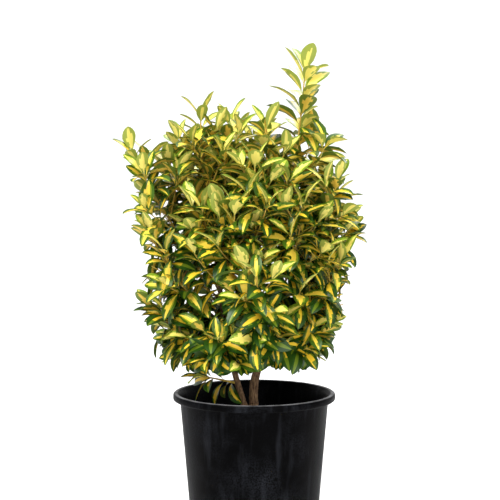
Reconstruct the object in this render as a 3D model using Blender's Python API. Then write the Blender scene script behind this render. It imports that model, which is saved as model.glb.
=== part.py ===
"""A potted Japanese euonymus with gold-centred leaves, at its real size, in metres.

The shrub stands in a round nursery pot. Two stems rise from one flared foot in the soil, with a limb
behind them and a limb in front. Boughs leave these, and each bough ends in a mass of leafy twigs.
+Z is up, the origin is the middle of the pot's underside, and the front faces -Y.
"""

import math
import random
from typing import NamedTuple

import bmesh
import bpy
from mathutils import Quaternion, Vector, kdtree

UP = Vector((0.0, 0.0, 1.0))
CLEARANCE = 0.0003

# The pot and its soil
POT_HEIGHT = 0.240
POT_FOOT_RADIUS = 0.109
POT_SHOULDER_RADIUS = 0.128
POT_WALL = 0.0025
POT_FLOOR = 0.003
POT_SIDES = 32
RIM_RADIUS = 0.1405
RIM_MOUTH_RADIUS = 0.1318
RIM_DEPTH = 0.012
RIM_ROUNDING = 0.003
FOOT_CHAMFER = 0.004
DRAIN_HOLES = 4
DRAIN_RADIUS = 0.008
DRAIN_SIDES = 8
SOIL_TOP = 0.195
SOIL_GAP = 0.0006
SOIL_EDGE_DROP = 0.004
SOIL_FLAT_SHARE = 0.8

# The foot of the shrub, from the soil to its fork
TRUNK_CENTRE = Vector((-0.0095, 0.0, 0.0))
TRUNK_FLARE_RADIUS = 0.0215
TRUNK_WAIST_RADIUS = 0.0125
TRUNK_WAIST_HEIGHT = 0.013
TRUNK_RINGS = (0.0, 0.25, 0.6, 1.0)

# Limbs and twigs: the sides of their section, the steps along them, and their radii
STEM_SIDES = 8
LIMB_SIDES = 8
BOUGH_SIDES = 6
TWIG_SIDES = 3
LIMB_STEP = 0.028
BOUGH_STEP = 0.035
TWIG_STEP = 0.050
BOUGH_TIP_RADIUS = 0.0022
BOUGH_TAPER = 0.0085
BOUGH_SHARE_OF_CARRIER = 0.8
LEADER_RADIUS = 0.0025
SIDE_RADIUS = 0.0020
TWIG_TIP_SHARE = 0.6

# How side twigs leave the leader of a mass
SIDE_PLACES = (0.12, 0.36, 0.60)
SIDE_LENGTH_SHARE = 0.50
SIDE_LEAST_LENGTH = 0.035
SIDE_LEAN = 46.0
SIDE_TURN = 137.5
SIDE_SWING = 20.0
SIDE_LIFT = 0.44

# Leaves, in pairs a quarter turn apart. Pairs of values are for a young leaf and an old one
NODE_SPACING = 0.0275
FIRST_NODE = 0.012
LEAF_LENGTH = 0.070
LEAF_WIDTH_SHARE = 0.43
LEAF_THICKNESS_SHARE = 0.026
LEAF_STALK_SHARE = 0.10
LEAF_STATIONS = (0.42, 0.76)
LEAF_SUNK = 0.0006
LEAF_LEAN = (42.0, 60.0)
LEAF_HANG = (0.30, 0.60)
LEAF_CURL = (18.0, 46.0)
LEAF_FOLD = (0.22, 0.42)
YOUNG_LEAF_SHARE = 0.82
LEAF_WAVER = 7.0
LEAF_ROLL = 22.0
LEAF_CURL_VARIES = (-12.0, 14.0)
LEAF_SIZE_VARIES = (0.88, 1.12)
LEAF_WIDTH_VARIES = (0.90, 1.12)
LEAF_FACES_STEM = 0.4
LEAF_FACES_UP = 0.9
SAG_CURL = 0.4
PAIR_SWING = 14.0
LEAF_FITS = ((1.0, 0.0), (1.0, 0.35), (0.8, 0.0), (0.8, 0.5))
TIP_NODE = 0.003
TIP_AGE = -1.2
TIP_PULL = 0.35
ROSETTE_GAP = 0.012
TIP_REACH = 0.046

# The room that each mass keeps to itself, and what its leaves keep off
SPACE_MARGIN = 0.0016
LEAF_GAP = 0.0020
NODE_ROOM = 0.008
TWIG_GAP = 0.0045
LIMB_MARGIN = 0.0030
POT_MARGIN = 0.0040
PROBE_STEP = 0.007

# How far the crown reaches to its left and right at each height. Only its lowest shoot hangs under it
CROWN_REACH = (
    (0.250, 0.130, 0.060),
    (0.300, 0.174, 0.140),
    (0.350, 0.176, 0.152),
    (0.400, 0.226, 0.150),
    (0.450, 0.182, 0.170),
    (0.500, 0.190, 0.182),
    (0.545, 0.224, 0.195),
    (0.590, 0.205, 0.182),
    (0.650, 0.226, 0.167),
    (0.690, 0.247, 0.144),
    (0.720, 0.172, 0.122),
    (0.765, 0.128, 0.124),
    (0.780, -0.043, 0.127),
    (0.848, -0.043, 0.142),
)
CROWN_LEAST_DEPTH = 0.10
CROWN_SQUARENESS = 2.6
CROWN_UNDERSIDE = 0.278


class Limb(NamedTuple):
    """A main limb: what carries it and where, the four control points of its line, and its radii."""

    name: str
    carrier: str
    leaves_at: float
    controls: tuple
    root_radius: float
    tip_radius: float


class Spray(NamedTuple):
    """A shoot: what carries it, the share of that length where it leaves, and where its leaves reach.

    The first share of it, bare, is a bough, and the rest leads a mass of foliage. Bow is how far it
    swings outward before it rises, as a share of its length. Sag is how far its leaves hang. Twigs is
    the most side twigs that its leader has.
    """

    name: str
    carrier: str
    leaves_at: float
    tip: tuple
    bare: float
    bow: float
    sag: float
    twigs: int = 3


STEMS = (
    Limb("stem_left", "", 0.0, ((-0.0185, 0.0, 0.2200), (-0.032, 0.0, 0.262), (-0.054, 0.0, 0.345),
         (-0.061, -0.020, 0.455)), 0.0058, 0.0034),
    Limb("stem_right", "", 0.0, ((-0.0010, 0.0, 0.2200), (-0.006, 0.0, 0.300), (0.036, 0.0, 0.300),
         (0.047, 0.008, 0.470)), 0.0080, 0.0040),
)
LIMBS = (
    Limb("limb_back", "stem_right", 0.22, ((0.0, 0.0, 0.0), (0.008, 0.050, 0.310),
         (-0.004, 0.080, 0.370), (-0.006, 0.092, 0.440)), 0.0048, 0.0032),
    Limb("limb_front", "stem_right", 0.30, ((0.0, 0.0, 0.0), (0.018, -0.040, 0.330),
         (0.008, -0.070, 0.370), (0.004, -0.078, 0.440)), 0.0042, 0.0028),
)
SPRAYS = (
    Spray("tall", "stem_right", 1.0, (0.092, 0.030, 0.840), 0.28, 0.02, 0.00, 1),
    Spray("right_upper", "stem_right", 0.86, (0.150, -0.030, 0.650), 0.20, 0.12, 0.10),
    Spray("right_far", "stem_right", 0.74, (0.190, 0.060, 0.555), 0.21, 0.08, 0.20),
    Spray("right_mid", "stem_right", 0.50, (0.160, -0.070, 0.510), 0.22, 0.12, 0.25),
    Spray("right_low", "stem_right", 0.42, (0.150, 0.035, 0.420), 0.22, 0.08, 0.40),
    Spray("right_bottom", "stem_right", 0.33, (0.152, -0.045, 0.360), 0.00, 0.00, 0.50),
    Spray("front_right", "stem_right", 0.70, (0.085, -0.100, 0.610), 0.20, 0.10, 0.10),
    Spray("back_right_high", "stem_right", 0.93, (0.112, 0.115, 0.665), 0.21, 0.10, 0.10),
    Spray("centre_top", "stem_right", 0.82, (0.018, -0.035, 0.740), 0.22, 0.04, 0.05),
    Spray("left_inner", "stem_left", 1.0, (-0.092, -0.095, 0.600), 0.00, 0.06, 0.05),
    Spray("left_far_top", "stem_left", 0.88, (-0.226, -0.015, 0.698), 0.24, 0.06, 0.05),
    Spray("left_second", "stem_left", 0.80, (-0.137, 0.050, 0.722), 0.22, 0.08, 0.05),
    Spray("left_third", "stem_left", 0.94, (-0.094, 0.020, 0.762), 0.22, 0.06, 0.00),
    Spray("centre_left_top", "stem_left", 0.86, (-0.040, 0.035, 0.755), 0.22, 0.03, 0.00),
    Spray("left_mid", "stem_left", 0.58, (-0.190, -0.055, 0.560), 0.20, 0.10, 0.15),
    Spray("left_low", "stem_left", 0.40, (-0.205, -0.030, 0.420), 0.22, 0.08, 0.30),
    Spray("left_drop", "stem_left", 0.34, (-0.172, -0.050, 0.350), 0.00, -0.02, 0.60),
    Spray("low_pot", "stem_left", 0.15, (-0.132, -0.030, 0.272), 0.00, -0.04, 0.90, 0),
    Spray("front_left_low", "stem_left", 0.30, (-0.072, -0.145, 0.360), 0.00, -0.02, 0.70),
    Spray("front_left_mid", "stem_left", 0.66, (-0.030, -0.130, 0.600), 0.18, 0.10, 0.05),
    Spray("front_low", "limb_front", 0.25, (0.010, -0.150, 0.395), 0.00, 0.00, 0.45),
    Spray("front_mid", "limb_front", 0.62, (0.002, -0.185, 0.490), 0.00, 0.10, 0.25),
    Spray("centre_front_top", "limb_front", 1.0, (0.000, -0.105, 0.680), 0.18, 0.02, 0.05),
    Spray("back_centre_mid", "limb_back", 0.82, (-0.010, 0.200, 0.580), 0.00, 0.08, 0.15),
    Spray("back_centre_high", "limb_back", 1.0, (-0.030, 0.120, 0.738), 0.22, 0.03, 0.00),
    Spray("back_left_high", "limb_back", 0.78, (-0.140, 0.140, 0.660), 0.22, 0.10, 0.10),
    Spray("back_left_mid", "limb_back", 0.60, (-0.180, 0.130, 0.510), 0.22, 0.10, 0.20),
    Spray("back_right_mid", "limb_back", 0.66, (0.155, 0.155, 0.500), 0.22, 0.10, 0.20),
    Spray("back_left_low", "limb_back", 0.30, (-0.120, 0.130, 0.365), 0.21, 0.02, 0.60),
    Spray("back_right_low", "limb_back", 0.36, (0.085, 0.165, 0.365), 0.21, 0.02, 0.60),
)

# Base colour and roughness
PAINTS = {
    "pot": ((0.020, 0.019, 0.020), 0.45),
    "soil": ((0.050, 0.032, 0.020), 0.95),
    "bark": ((0.135, 0.090, 0.060), 0.85),
    "leaves": ((0.330, 0.380, 0.060), 0.40),
}


class Bend:
    """A smooth line of one cubic span, with the straight steps that a limb round it is made in."""

    def __init__(self, controls, step):
        self.controls = [Vector(control) for control in controls]
        self.step = step
        rough = sum((after - before).length for before, after in zip(self.controls, self.controls[1:]))
        self.steps = max(2, math.ceil(rough / step))
        self.points = [self.point(place / self.steps) for place in range(self.steps + 1)]
        self.length = sum((after - before).length for before, after in zip(self.points, self.points[1:]))

    def point(self, share):
        """The point at a share of the span."""
        row = self.controls
        while len(row) > 1:
            row = [before.lerp(after, share) for before, after in zip(row, row[1:])]
        return row[0]

    def share_at(self, distance):
        """The share of the span at a distance along its steps."""
        for place, (before, after) in enumerate(zip(self.points, self.points[1:])):
            span = (after - before).length
            if distance <= span:
                return (place + distance / span) / self.steps
            distance -= span
        return 1.0

    def at(self, distance):
        """The point and the way along, at a distance along the steps."""
        share = self.share_at(distance)
        place = min(int(share * self.steps), self.steps - 1)
        point = self.points[place].lerp(self.points[place + 1], share * self.steps - place)
        way = self.point(min(1.0, share + 0.01)) - self.point(max(0.0, share - 0.01))
        return point, way.normalized()

    def stretch(self, start, end):
        """The stretch between two distances, as a bend of its own."""
        shares = (self.share_at(start), self.share_at(end))
        controls = []
        for late in range(4):
            row = self.controls
            for turn in (shares[1] if number < late else shares[0] for number in range(3)):
                row = [before.lerp(after, turn) for before, after in zip(row, row[1:])]
            controls.append(row[0])
        return Bend(controls, self.step)

    def probes(self):
        """Points close together along the line."""
        count = math.ceil(self.length / PROBE_STEP)
        return [self.at(self.length * place / count)[0] for place in range(count + 1)]


class Branch:
    """A limb that tapers along a bend, which other pieces leave or keep clear of."""

    def __init__(self, name, bend, root_radius, tip_radius, sides):
        self.name = name
        self.bend = bend
        self.radii = (root_radius, tip_radius)
        self.sides = sides

    def radius_at(self, share):
        """The radius at a share of the length."""
        return self.radii[0] + (self.radii[1] - self.radii[0]) * share

    def make(self, material="bark"):
        """The limb as a closed solid."""
        return tube(self.name, self.bend, self.radii, self.sides, material)

    def cutter(self):
        """The limb grown by the clearance, to cut the root of what leaves it."""
        grown = [radius + CLEARANCE * 1.3 for radius in self.radii]
        return tube("cutter", self.bend, grown, self.sides)

    def probes(self):
        """(point, radius) pairs close together along the limb."""
        points = self.bend.probes()
        return [(point, self.radius_at(place / (len(points) - 1))) for place, point in enumerate(points)]


def clear_scene():
    """Removes what the file opened with."""
    for obj in list(bpy.data.objects):
        bpy.data.objects.remove(obj)


def paint(name):
    """The material of that name, made the first time that it is asked for."""
    if name in bpy.data.materials:
        return bpy.data.materials[name]
    colour, roughness = PAINTS[name]
    material = bpy.data.materials.new(name)
    material.use_nodes = True
    surface = material.node_tree.nodes["Principled BSDF"]
    surface.inputs["Base Color"].default_value = (*colour, 1.0)
    surface.inputs["Roughness"].default_value = roughness
    surface.inputs["Metallic"].default_value = 0.0
    return material


def add_object(name, data, material=None):
    """A new object in the scene that holds this data."""
    if material:
        data.materials.append(paint(material))
    obj = bpy.data.objects.new(name, data)
    bpy.context.scene.collection.objects.link(obj)
    return obj


def as_mesh(obj):
    """A mesh of what the object shows, with its modifiers or its bevel."""
    graph = bpy.context.evaluated_depsgraph_get()
    return bpy.data.meshes.new_from_object(obj.evaluated_get(graph))


def combine(obj, others, operation):
    """Joins the other objects to this one, or cuts them from it, with one Boolean, and removes them."""
    group = bpy.data.collections.new("combined")
    bpy.context.scene.collection.children.link(group)
    for other in others:
        bpy.context.scene.collection.objects.unlink(other)
        group.objects.link(other)
    boolean = obj.modifiers.new("combined", "BOOLEAN")
    boolean.operation = operation
    boolean.operand_type = "COLLECTION"
    boolean.collection = group
    mesh = as_mesh(obj)
    obj.modifiers.clear()
    obj.data = mesh
    for other in others:
        spent = other.data
        bpy.data.objects.remove(other)
        bpy.data.meshes.remove(spent)
    bpy.data.collections.remove(group)


def weld(mesh):
    """Makes one of points that coincide, and turns the faces outwards."""
    shape = bmesh.new()
    shape.from_mesh(mesh)
    bmesh.ops.remove_doubles(shape, verts=shape.verts, dist=CLEARANCE / 10)
    bmesh.ops.recalc_face_normals(shape, faces=shape.faces)
    shape.to_mesh(mesh)
    shape.free()


def turned(name, profile, material):
    """A round solid: a profile of (radius, height) points, from axis to axis, spun about Z."""
    shape = bmesh.new()
    corners = [shape.verts.new((radius, 0.0, height)) for radius, height in profile]
    edges = [shape.edges.new(pair) for pair in zip(corners, corners[1:])]
    bmesh.ops.spin(shape, geom=corners + edges, axis=UP, cent=(0, 0, 0), angle=math.tau,
                   steps=POT_SIDES, use_merge=True)
    mesh = bpy.data.meshes.new(name)
    shape.to_mesh(mesh)
    shape.free()
    weld(mesh)
    return add_object(name, mesh, material)


def section(sides):
    """The many-sided outline of radius 1 that limbs with that many sides are drawn with."""
    name = f"section_{sides}"
    if name in bpy.data.objects:
        return bpy.data.objects[name]
    outline = bpy.data.curves.new(name, "CURVE")
    spline = outline.splines.new("POLY")
    spline.points.add(sides - 1)
    for side, point in enumerate(spline.points):
        angle = math.tau * side / sides
        point.co = (math.cos(angle), math.sin(angle), 0.0, 1.0)
    spline.use_cyclic_u = True
    guide = add_object(name, outline)
    guide.hide_render = True
    guide.display_type = "WIRE"
    return guide


def tube(name, bend, radii, sides, material=None):
    """A limb that tapers along a bend, closed at both ends."""
    curve = bpy.data.curves.new(name, "CURVE")
    curve.dimensions = "3D"
    curve.bevel_mode = "OBJECT"
    curve.bevel_object = section(sides)
    curve.use_fill_caps = True
    spline = curve.splines.new("BEZIER")
    spline.bezier_points.add(1)
    spline.resolution_u = bend.steps
    root, root_pull, tip_pull, tip = bend.controls
    for point, place, before, after, radius in (
        (spline.bezier_points[0], root, 2 * root - root_pull, root_pull, radii[0]),
        (spline.bezier_points[1], tip, tip_pull, 2 * tip - tip_pull, radii[1]),
    ):
        point.co = place
        point.handle_left = before
        point.handle_right = after
        point.radius = radius
    drawn = add_object("drawn", curve)
    mesh = as_mesh(drawn)
    bpy.data.objects.remove(drawn)
    bpy.data.curves.remove(curve)
    mesh.materials.clear()
    weld(mesh)
    return add_object(name, mesh, material)


def make_pot():
    """The pot: a tapered cup with a rolled rim, and drain holes round its foot."""
    under_rim = POT_HEIGHT - RIM_DEPTH
    inner_shoulder = POT_SHOULDER_RADIUS - POT_WALL
    pot = turned("pot", [
        (0.0, 0.0),
        (POT_FOOT_RADIUS - FOOT_CHAMFER, 0.0),
        (POT_FOOT_RADIUS, FOOT_CHAMFER),
        (POT_SHOULDER_RADIUS, under_rim),
        (RIM_RADIUS - RIM_ROUNDING / 2, under_rim),
        (RIM_RADIUS, under_rim + RIM_ROUNDING / 2),
        (RIM_RADIUS, POT_HEIGHT - RIM_ROUNDING),
        (RIM_RADIUS - RIM_ROUNDING, POT_HEIGHT),
        (RIM_MOUTH_RADIUS + RIM_ROUNDING / 2, POT_HEIGHT),
        (RIM_MOUTH_RADIUS - RIM_ROUNDING / 2, POT_HEIGHT - RIM_ROUNDING / 2),
        (inner_shoulder, under_rim),
        (POT_FOOT_RADIUS - POT_WALL, POT_FLOOR + POT_WALL),
        (POT_FOOT_RADIUS - 2 * POT_WALL, POT_FLOOR),
        (0.0, POT_FLOOR),
    ], "pot")
    combine(pot, [drain_cutter(hole) for hole in range(DRAIN_HOLES)], "DIFFERENCE")
    pot.data.shade_smooth()
    pot.data.set_sharp_from_angle(angle=math.radians(35))


def drain_cutter(hole):
    """A cutter for one drain hole, aslant through the corner between wall and floor."""
    angle = math.tau * (hole + 0.5) / DRAIN_HOLES
    outward = Vector((math.cos(angle), math.sin(angle), 0.0))
    corner = outward * POT_FOOT_RADIUS
    slant = (outward - UP).normalized() * 3 * FOOT_CHAMFER
    ends = (corner - slant, corner - slant / 3, corner + slant / 3, corner + slant)
    return tube("cutter", Bend(ends, BOUGH_STEP), (DRAIN_RADIUS, DRAIN_RADIUS), DRAIN_SIDES)


def wall_radius(height):
    """The pot's outer radius at a height below its rim."""
    share = (height - FOOT_CHAMFER) / (POT_HEIGHT - RIM_DEPTH - FOOT_CHAMFER)
    return POT_FOOT_RADIUS + (POT_SHOULDER_RADIUS - POT_FOOT_RADIUS) * share


def make_soil():
    """The root ball: potting mix that fills the pot to below its rim, a little lower at the wall."""
    edge = SOIL_TOP - SOIL_EDGE_DROP
    bottom = POT_FLOOR + SOIL_GAP
    low = 2 * FOOT_CHAMFER
    inset = POT_WALL + SOIL_GAP
    top_radius = wall_radius(edge) - inset
    turned("soil", [
        (0.0, bottom),
        (POT_FOOT_RADIUS - 2 * inset - POT_WALL, bottom),
        (wall_radius(low) - inset, low),
        (top_radius, edge),
        (top_radius * SOIL_FLAT_SHARE, SOIL_TOP),
        (0.0, SOIL_TOP),
    ], "soil")


def make_trunk(stems):
    """The foot of the shrub: a root flare, cut flat at the soil, that forks into two stubs."""
    ground = SOIL_TOP + CLEARANCE
    shape = bmesh.new()
    rings = []
    for share in TRUNK_RINGS:
        radius = TRUNK_WAIST_RADIUS + (TRUNK_FLARE_RADIUS - TRUNK_WAIST_RADIUS) * (1 - share) ** 2
        made = bmesh.ops.create_circle(shape, cap_ends=share in (0.0, 1.0), segments=STEM_SIDES, radius=radius)
        height = ground + TRUNK_WAIST_HEIGHT * share
        bmesh.ops.translate(shape, verts=made["verts"], vec=TRUNK_CENTRE + UP * height)
        rings.append({edge for vert in made["verts"] for edge in vert.link_edges})
    for low, high in zip(rings, rings[1:]):
        bmesh.ops.bridge_loops(shape, edges=list(low | high))
    mesh = bpy.data.meshes.new("trunk")
    shape.to_mesh(mesh)
    shape.free()
    weld(mesh)
    trunk = add_object("trunk", mesh, "bark")
    stubs = []
    for stem in stems:
        top, way = stem.bend.at(0.0)
        top = top - way * CLEARANCE
        root = TRUNK_CENTRE.lerp(Vector((top.x, top.y, 0.0)), 0.4) + UP * (ground + TRUNK_WAIST_HEIGHT / 3)
        pull = way * (top - root).length / 3
        bend = Bend((root, root + UP * pull.length, top - pull, top), BOUGH_STEP / 4)
        stubs.append(tube("stub", bend, (stem.radii[0] * 1.2, stem.radii[0]), STEM_SIDES))
    combine(trunk, stubs, "UNION")


def spray_bend(spray, carrier):
    """The whole curve of a shoot, from the middle of its carrier to where its last leaves spring."""
    root = carrier.bend.at(carrier.bend.length * spray.leaves_at)[0]
    tip = Vector(spray.tip)
    straight = tip - root
    level = Vector((straight.x, straight.y, 0.0)).normalized()
    middle = root.lerp(tip, 0.5) + (level - UP) * spray.bow * straight.length
    tip = tip - (tip - middle).normalized() * TIP_REACH
    return Bend((root, root.lerp(middle, 2 / 3), tip.lerp(middle, 2 / 3), tip), TWIG_STEP)


class Mass:
    """A mass of foliage: its leader, and the stretch of the shoot that is its bough, if it has one."""

    def __init__(self, spray, carrier):
        self.spray = spray
        self.carrier = carrier
        self.whole = spray_bend(spray, carrier)
        bough_end = self.whole.length * spray.bare
        first = CLEARANCE if spray.leaves_at == 1.0 else 0.0
        self.bough = None
        if spray.bare:
            stretch = self.whole.stretch(first, bough_end)
            wanted = BOUGH_TIP_RADIUS + BOUGH_TAPER * stretch.length
            share = 1.0 if spray.leaves_at == 1.0 else BOUGH_SHARE_OF_CARRIER
            root_radius = min(wanted, carrier.radius_at(spray.leaves_at) * share)
            self.bough = Branch("bough_" + spray.name, stretch, root_radius, BOUGH_TIP_RADIUS, BOUGH_SIDES)
            first = bough_end + CLEARANCE
        self.leader = Shoot(spray.name, self.whole.stretch(first, self.whole.length), LEADER_RADIUS)
        self.tree = tree_of(self.leader.bend.probes())


class Leaf(NamedTuple):
    """Where a leaf is: its root, the way it points, the way its upper side faces, and its form."""

    root: Vector
    stem_way: Vector
    way: Vector
    upper: Vector
    length: float
    width: float
    curl: float
    fold: float

    def fitted(self, size, lift):
        """The leaf at a share of its size, turned by a share of the way towards its stem."""
        way = self.way.lerp(self.stem_way, lift).normalized()
        upper = (self.upper - self.upper.dot(way) * way).normalized()
        return self._replace(way=way, upper=upper, length=self.length * size, width=self.width * size)

    def point(self, along, aside, lift=0.0):
        """A point of the blade: along from root to tip, aside from -1 to 1 across, and lift off it."""
        bend = self.curl * along
        reach = self.length * along * (math.sin(bend) / bend if abs(bend) > 0.001 else 1.0)
        fall = self.length * along * ((1 - math.cos(bend)) / bend if abs(bend) > 0.001 else 0.0)
        facing = self.upper * math.cos(bend) + self.way * math.sin(bend)
        half = self.width / 2 * aside * blade_width(along)
        centre = self.root + self.way * reach - self.upper * fall
        return centre + self.way.cross(self.upper) * half + facing * (abs(half) * self.fold + lift)

    def probes(self):
        """Points spread over the blade."""
        count = math.ceil(self.length / PROBE_STEP)
        shares = [place / count for place in range(1, count + 1)]
        return [self.point(share, aside) for share in shares for aside in (-1, 0, 1)]


def blade_width(along):
    """The blade's width there, as a share of its widest: none in the stalk, most past the middle."""
    share = (along - LEAF_STALK_SHARE) / (1 - LEAF_STALK_SHARE)
    if not 0.0 < share < 1.0:
        return 0.0
    return math.sin(math.pi * share ** 1.15) ** 0.8


def level_side(way):
    """A unit vector at right angles to the way, as level as it can be."""
    side = way.cross(UP)
    return side.normalized() if side.length > 0.05 else Vector((1.0, 0.0, 0.0))


def leaf_frame(draw, node, stem_way, outward, age, sag, length):
    """A leaf that leans from its stem by its age, sags, and turns its upper side to the light."""
    lean = math.radians(LEAF_LEAN[0] + (LEAF_LEAN[1] - LEAF_LEAN[0]) * age + draw.uniform(-LEAF_WAVER, LEAF_WAVER))
    way = stem_way * math.cos(lean) + outward * math.sin(lean)
    way = (way - UP * sag * (LEAF_HANG[0] + (LEAF_HANG[1] - LEAF_HANG[0]) * age)).normalized()
    upper = stem_way - outward * LEAF_FACES_STEM + UP * LEAF_FACES_UP
    upper = (upper - upper.dot(way) * way).normalized()
    upper = Quaternion(way, math.radians(draw.uniform(-LEAF_ROLL, LEAF_ROLL))) @ upper
    curl = math.radians(LEAF_CURL[0] + (LEAF_CURL[1] - LEAF_CURL[0]) * age + draw.uniform(*LEAF_CURL_VARIES))
    size = length * draw.uniform(*LEAF_SIZE_VARIES)
    width = size * LEAF_WIDTH_SHARE * draw.uniform(*LEAF_WIDTH_VARIES)
    return Leaf(node + outward * LEAF_SUNK, stem_way, way, upper, size, width, curl * (1 + SAG_CURL * sag),
                draw.uniform(*LEAF_FOLD))


class Shoot:
    """A twig and its leaves, in pairs at its nodes, each pair a quarter turn from the last."""

    def __init__(self, name, bend, radius):
        self.name = name
        self.bend = bend
        self.radii = (radius, radius * TWIG_TIP_SHARE)

    def make(self, name="twig", material=None):
        """The twig as a closed solid."""
        return tube(name, self.bend, self.radii, TWIG_SIDES, material)

    def leaves(self, sag):
        """The leaves from tip to root: an upright pair, the spread pair of its rosette, and the rest."""
        tip = self.bend.length - TIP_NODE
        last = tip - ROSETTE_GAP
        count = max(1, round((last - FIRST_NODE) / NODE_SPACING))
        places = [last - (last - FIRST_NODE) * number / count for number in range(count + 1)]
        leaves = []
        for number, distance in enumerate([tip, *places]):
            node, way = self.bend.at(distance)
            share = distance / self.bend.length
            way = (way + UP * TIP_PULL * share * (1 - sag)).normalized()
            size = LEAF_LENGTH * (1 - (1 - YOUNG_LEAF_SHARE) * share)
            age = TIP_AGE if number == 0 else 1 - share
            for half in (0, 1):
                draw = random.Random(f"{self.name}:{number}:{half}")
                turn = math.pi * (number / 2 + half) + math.radians(draw.uniform(-PAIR_SWING, PAIR_SWING))
                outward = Quaternion(way, turn) @ level_side(way)
                leaves.append(leaf_frame(draw, node, way, outward, age, sag, size))
        return leaves


def side_bend(draw, mass, place, number):
    """The line of a side twig that leaves the leader at a share of its length."""
    leader = mass.leader.bend
    root, way = leader.at(leader.length * place)
    turn = math.radians(SIDE_TURN * number + draw.uniform(-SIDE_SWING, SIDE_SWING))
    outward = Quaternion(way, turn) @ level_side(way)
    share = SIDE_LENGTH_SHARE * (1.15 - place) * draw.uniform(0.85, 1.15)
    half = max(SIDE_LEAST_LENGTH, leader.length * share) / 2
    lean = math.radians(SIDE_LEAN)
    start_way = way * math.cos(lean) + outward * math.sin(lean)
    middle = root + start_way * half
    tip = middle + (start_way + UP * SIDE_LIFT * (1 - mass.spray.sag)).normalized() * half
    return Bend((root, root.lerp(middle, 2 / 3), tip.lerp(middle, 2 / 3), tip), TWIG_STEP)


def tree_of(points):
    """A search tree of points."""
    tree = kdtree.KDTree(len(points))
    for number, point in enumerate(points):
        tree.insert(point, number)
    tree.balance()
    return tree


def in_crown(point):
    """Whether the point is inside the crown's outline."""
    if not CROWN_REACH[0][0] - POT_MARGIN < point.z < CROWN_REACH[-1][0]:
        return point.z < CROWN_REACH[0][0]
    rows = next(pair for pair in zip(CROWN_REACH, CROWN_REACH[1:]) if point.z < pair[1][0])
    share = (point.z - rows[0][0]) / (rows[1][0] - rows[0][0])
    left, right = (rows[0][side] + (rows[1][side] - rows[0][side]) * share for side in (1, 2))
    half = (left + right) / 2
    aside = abs(point.x - (right - left) / 2) / half
    deep = abs(point.y) / max(half, CROWN_LEAST_DEPTH)
    return aside ** CROWN_SQUARENESS + deep ** CROWN_SQUARENESS < 1.0


class Room:
    """What tells whether a twig or leaf of one mass has room."""

    def __init__(self, mass, masses, limb_probes):
        self.own = mass.tree
        self.is_high = mass.spray.tip[2] > CROWN_REACH[1][0]
        self.others = [other.tree for other in masses if other is not mass]
        self.limbs = tree_of([point for point, radius in limb_probes])
        self.radii = [radius for point, radius in limb_probes]
        self.widest = max(self.radii)
        self.twigs = []
        self.leaves = []

    def holds(self, points):
        """Whether the points are in the crown and in this mass's space, and clear of limbs and pot."""
        if self.is_high and min(point.z for point in points) < CROWN_UNDERSIDE:
            return False
        return all(in_crown(point) and self.is_own(point) and self.is_clear(point) for point in points)

    def is_own(self, point):
        """Whether the point is nearer to this mass's leader than to any other, by the margin."""
        reach = self.own.find(point)[2] + 2 * SPACE_MARGIN
        return all(tree.find(point)[2] > reach for tree in self.others)

    def is_clear(self, point):
        """Whether the point clears every limb, the soil and the pot's wall."""
        for _, number, distance in self.limbs.find_range(point, self.widest + LIMB_MARGIN):
            if distance < self.radii[number] + LIMB_MARGIN:
                return False
        if point.z > POT_HEIGHT + POT_MARGIN:
            return True
        aside = math.hypot(point.x, point.y)
        return point.z > SOIL_TOP + POT_MARGIN and aside < POT_SHOULDER_RADIUS - POT_WALL - POT_MARGIN

    def is_free(self, points, node):
        """Whether the points keep off the twigs and the leaves made so far, away from the leaf's node."""
        far = [point for point in points if (point - node).length > NODE_ROOM]
        return (all((point - other).length > TWIG_GAP for point in far for other in self.twigs)
                and all((point - other).length > LEAF_GAP for point in far for other in self.leaves))


def make_leaf(leaf):
    """A solid leaf of twelve faces: six on its upper side and six under it, round one outline."""
    first, second = LEAF_STATIONS
    outline = [leaf.point(0.0, 0), leaf.point(first, 1), leaf.point(second, 1),
               leaf.point(1.0, 0), leaf.point(second, -1), leaf.point(first, -1)]
    middle = (first + second) / 2
    lift = leaf.length * LEAF_THICKNESS_SHARE / 2
    points = [*outline, leaf.point(middle, 0, lift), leaf.point(middle, 0, -lift)]
    faces = [(edge, (edge + 1) % 6, 6) for edge in range(6)]
    faces += [((edge + 1) % 6, edge, 7) for edge in range(6)]
    mesh = bpy.data.meshes.new("leaf")
    mesh.from_pydata([tuple(point) for point in points], [], faces)
    weld(mesh)
    return add_object("leaf", mesh)


def make_mass(mass, masses, limb_probes):
    """One mass of foliage: its leader, side twigs and leaves, fused into one solid."""
    name = mass.spray.name
    room = Room(mass, masses, limb_probes)
    body = mass.leader.make("foliage_" + name, "leaves")
    if not mass.bough:
        combine(body, [mass.carrier.cutter()], "DIFFERENCE")
    pieces = []
    shoots = [mass.leader]
    room.twigs += mass.leader.bend.probes()
    draw = random.Random(name)
    for number, place in enumerate(SIDE_PLACES[:mass.spray.twigs]):
        side = Shoot(f"{name}:{number}", side_bend(draw, mass, place, number), SIDE_RADIUS)
        spots = side.bend.probes()
        if room.holds(spots):
            pieces.append(side.make())
            shoots.append(side)
            room.twigs += spots
    leaves = 0
    for shoot in shoots:
        for leaf in shoot.leaves(mass.spray.sag):
            for size, lift in LEAF_FITS:
                fitted = leaf.fitted(size, lift)
                spots = fitted.probes()
                if room.holds(spots) and room.is_free(spots, leaf.root):
                    pieces.append(make_leaf(fitted))
                    room.leaves += spots
                    leaves += 1
                    break
    combine(body, pieces, "UNION")
    return leaves


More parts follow.
